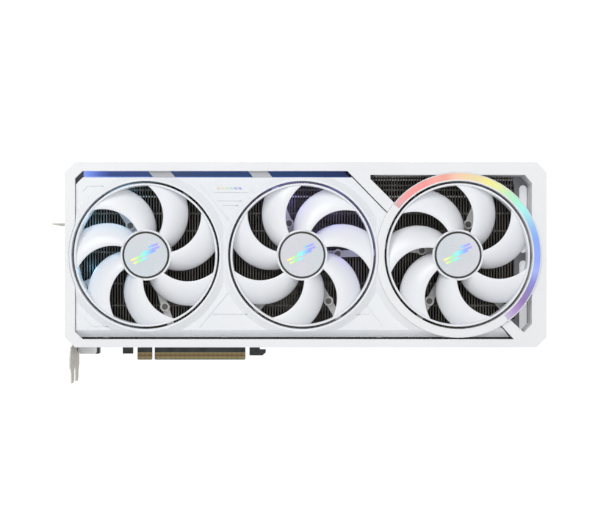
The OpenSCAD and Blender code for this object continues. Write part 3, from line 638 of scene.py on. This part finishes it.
def make_plaque_bars():
    """Row of small slanted colour bars on the plaque."""
    low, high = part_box("badge_plate")
    proud, sunk = 0.06 * MM, 0.1 * MM
    hues = ["E8D4CE", "E6DFCC", "D6E2D0", "C8DFE2", "AEC0E6", "B2B6E0"]
    wide, gap, tall, slant = 2.3 * MM, 0.9 * MM, 1.7 * MM, -1.1 * MM
    middle = (low + high) / 2
    left = middle.x - len(hues) / 2 * (wide + gap)
    for i, hue in enumerate(hues):
        x0, z0 = left + i * (wide + gap), middle.z - tall / 2
        corners = [(x0, z0), (x0 + wide, z0), (x0 + wide + slant, z0 + tall), (x0 + slant, z0 + tall)]
        verts = [(x, y, z) for y in (low.y - proud, low.y + sunk) for x, z in corners]
        faces = [(0, 1, 2, 3), (7, 6, 5, 4), (0, 4, 5, 1), (1, 5, 6, 2), (2, 6, 7, 3), (3, 7, 4, 0)]
        paint = plastic(f"plaque_bar_{i}", hue, hue, rough=0.3)
        add_piece(f"plaque_bar_{i}", mesh_from("bar", verts, faces), paint, "badge_white", smooth=False)


make_plaque_bars()


# ---- Bosses on the fan frames ----

# Angle in degrees of each arm, and the radius of its boss in millimetres
ARMS = {"left": ((58, 40), (121, 26), (205, 40), (288, 41)),
        "middle": ((2, 27), (112, 26), (230, 40), (300, 40)),
        "right": ((68, 25), (172, 26), (240, 40), (312, 40))}


def make_bosses():
    """Dark disc of painted shade in each boss of the front fans' arms, where its recess lies."""
    depth, radius = 16.45, 2.3
    for side, arms in ARMS.items():
        fan = FANS[side]
        discs = []
        for angle, reach in arms:
            turned = math.radians(angle)
            centre = fan.centre + MM * Vector((reach * math.cos(turned), 0, reach * math.sin(turned)))
            outline = rounded([(AXIS_R, depth), (radius, depth), (radius, depth + 0.3),
                               (AXIS_R, depth + 0.3)], 0.05)
            discs.append(lathe("recess", outline, centre, segments=32))
        add_piece(f"arm_recesses_{side}", joined("recesses", discs), BOSS_SHADE, "fan_frame_grey")


make_bosses()


# ---- Finishes of the CAD nodes ----

FINISHES = {
    "outer_frame": WHITE, "right_fan_ring": WHITE, "light_bar_ramps": RAMP_GREY,
    "badge_plate": SHROUD_WHITE, "fin_stack": FIN, "heat_pipes": NICKEL,
    "cold_plate": PLATE, "thermal_pads": PAD, "pcb": BOARD, "gpu_chip": SILICON,
    "memory_chips": DARK, "power_inductors": FERRITE, "power_stages": DARK, "capacitors": ALUMINIUM,
    "control_chips": DARK, "power_socket": DARK, "power_socket_pins": GOLD, "io_bracket": STEEL,
    "bracket_screws": SCREW, "video_socket_shells": STEEL, "video_socket_tongues": DARK,
    "backplate": BACK_WHITE, "backplate_screws": SCREW, "standoffs": BRASS, "retention_plate": STEEL,
    "retention_screws": SCREW, "retention_springs": SCREW, "switch_housing": DARK, "switch_slider": WHITE,
    "fan_frame_left": GREY, "fan_frame_middle": GREY, "fan_frame_right": GREY, "fan_frame_rear": WHITE,
    "fan_bearings": BRONZE,
    "front_shroud": shroud_finish_and_painted_light("shroud_painted_shade_and_glow", painted_shade_below=20.4 * MM, slope_top=26 * MM),
    "light_ring": ring_glow("ring_glow", FANS["right"].centre),
    "light_bar": bar_glow("bar_glow", *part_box("light_bar")),
    "end_brace": brace_finish_and_painted_glow("brace_paint_and_painted_glow", floor_y=-42.2 * MM, left=281.9 * MM, right=287.7 * MM),
    "io_cover": cover_finish("cover_plastic", *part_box("io_cover")),
    "edge_contacts": contact_finish("contact_plate", *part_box("edge_contacts")),
}
for part, finish in (("stator", COPPER), ("magnet", FERRITE), ("shaft", SCREW)):
    FINISHES.update({f"{part}_{side}": finish for side in FANS})

# Width in millimetres of the rounding on the CAD nodes' sharp edges
ROUNDED = {"outer_frame": 0.8, "front_shroud": 0.5, "right_fan_ring": 0.5, "light_bar_ramps": 0.3,
           "badge_plate": 0.2, "end_brace": 0.3, "io_bracket": 0.2, "io_cover": 0.6, "backplate": 0.3,
           "fan_frame_left": 0.3, "fan_frame_middle": 0.3, "fan_frame_right": 0.3, "fan_frame_rear": 0.4,
           "switch_slider": 0.2, "power_socket": 0.3, "heat_pipes": 0.2, "light_ring": 0.2}
for name, finish in FINISHES.items():
    nodes[name].data.materials.clear()
    nodes[name].data.materials.append(finish)
    for polygon in nodes[name].data.polygons:
        polygon.material_index = 0
for name, width in ROUNDED.items():
    crease(nodes[name], width)


# ---- Studio ----

def make_camera():
    """Level camera on the card's face, about a metre away."""
    distance, face_y = 1.005, -0.064
    view = bpy.data.cameras.new("camera")
    view.lens = 81.2
    view.sensor_width = 36.0
    view.clip_end = 20.0
    camera = bpy.data.objects.new("camera", view)
    camera.location = (0.1157, face_y - distance, 0.0739)
    camera.rotation_euler = (math.pi / 2, 0, 0)
    bpy.context.scene.collection.objects.link(camera)
    bpy.context.scene.camera = camera


def make_light(name, place, target, size, power):
    """Round soft lamp that the camera doesn't see."""
    light = bpy.data.lights.new(name, "AREA")
    light.shape = "DISK"
    light.size = size
    light.energy = power
    lamp = bpy.data.objects.new(name, light)
    lamp.location = place
    lamp.rotation_euler = (Vector(target) - Vector(place)).to_track_quat("-Z", "Y").to_euler()
    lamp.visible_camera = False
    bpy.context.scene.collection.objects.link(lamp)


def make_studio():
    """White floor under the bracket's tongues, white surroundings, and two soft lamps."""
    half = 4.0
    corners = [(-half, -half), (half, -half), (half, half), (-half, half)]
    mesh = bpy.data.meshes.new("floor")
    mesh.from_pydata([(x, y, cad_low.z) for x, y in corners], [], [(0, 1, 2, 3)])
    floor = bpy.data.objects.new("floor", mesh)
    bpy.context.scene.collection.objects.link(floor)
    material = bpy.data.materials.new("floor_paint")
    material.use_nodes = True
    tree = material.node_tree
    tree.nodes.clear()
    white = (1, 1, 1, 1)
    seen_strength = 1.05
    seen = node(tree, "LightPath").outputs["Is Camera Ray"]
    matt = node(tree, "BsdfDiffuse", {"Color": (0.55, 0.55, 0.56, 1)})
    shine = node(tree, "Emission", {"Color": white, "Strength": 0.38})
    soft = node(tree, "AddShader", {0: matt.outputs[0], 1: shine.outputs[0]})
    lit = node(tree, "Emission", {"Color": white, "Strength": seen_strength})
    mixed = node(tree, "MixShader", {0: seen, 1: soft.outputs[0], 2: lit.outputs[0]})
    tree.links.new(mixed.outputs[0], node(tree, "OutputMaterial").inputs["Surface"])
    mesh.materials.append(material)

    world = bpy.data.worlds.new("studio")
    bpy.context.scene.world = world
    world.use_nodes = True
    tree = world.node_tree
    tree.nodes.clear()
    seen = node(tree, "LightPath").outputs["Is Camera Ray"]
    plain = node(tree, "Background", {"Color": white, "Strength": seen_strength})
    soft = node(tree, "Background", {"Color": (0.985, 0.99, 1, 1), "Strength": 0.47})
    mixed = node(tree, "MixShader", {0: seen, 1: soft.outputs[0], 2: plain.outputs[0]})
    tree.links.new(mixed.outputs[0], node(tree, "OutputWorld").inputs["Surface"])

    aim = (0.12, -0.06, 0.08)
    make_light("key", (-0.5, -1.3, 1.0), aim, 1.0, 10.6)
    make_light("fill", (0.9, -1.5, 0.5), aim, 1.2, 4.0)


def make_duct_lights():
    """Small coloured lamps behind the blades, which tint the edges that dip towards them."""
    reach, depth = 44, 16
    for side, colour, angles in (("left", (0.25, 0.65, 1.0), (112, 150, 192)),
                                 ("middle", (0.3, 0.25, 1.0), (15, 60, 105))):
        for angle in angles:
            turned = math.radians(angle)
            lamp = bpy.data.lights.new(f"duct_{side}_{angle}", "POINT")
            lamp.energy = 0.003
            lamp.color = colour
            lamp.shadow_soft_size = 3 * MM
            holder = bpy.data.objects.new(lamp.name, lamp)
            spot = Vector((reach * math.cos(turned), depth, reach * math.sin(turned)))
            holder.location = FANS[side].centre + MM * spot
            holder.visible_camera = False
            bpy.context.scene.collection.objects.link(holder)


make_camera()
make_studio()
make_duct_lights()
bpy.context.scene.view_settings.view_transform = "Standard"
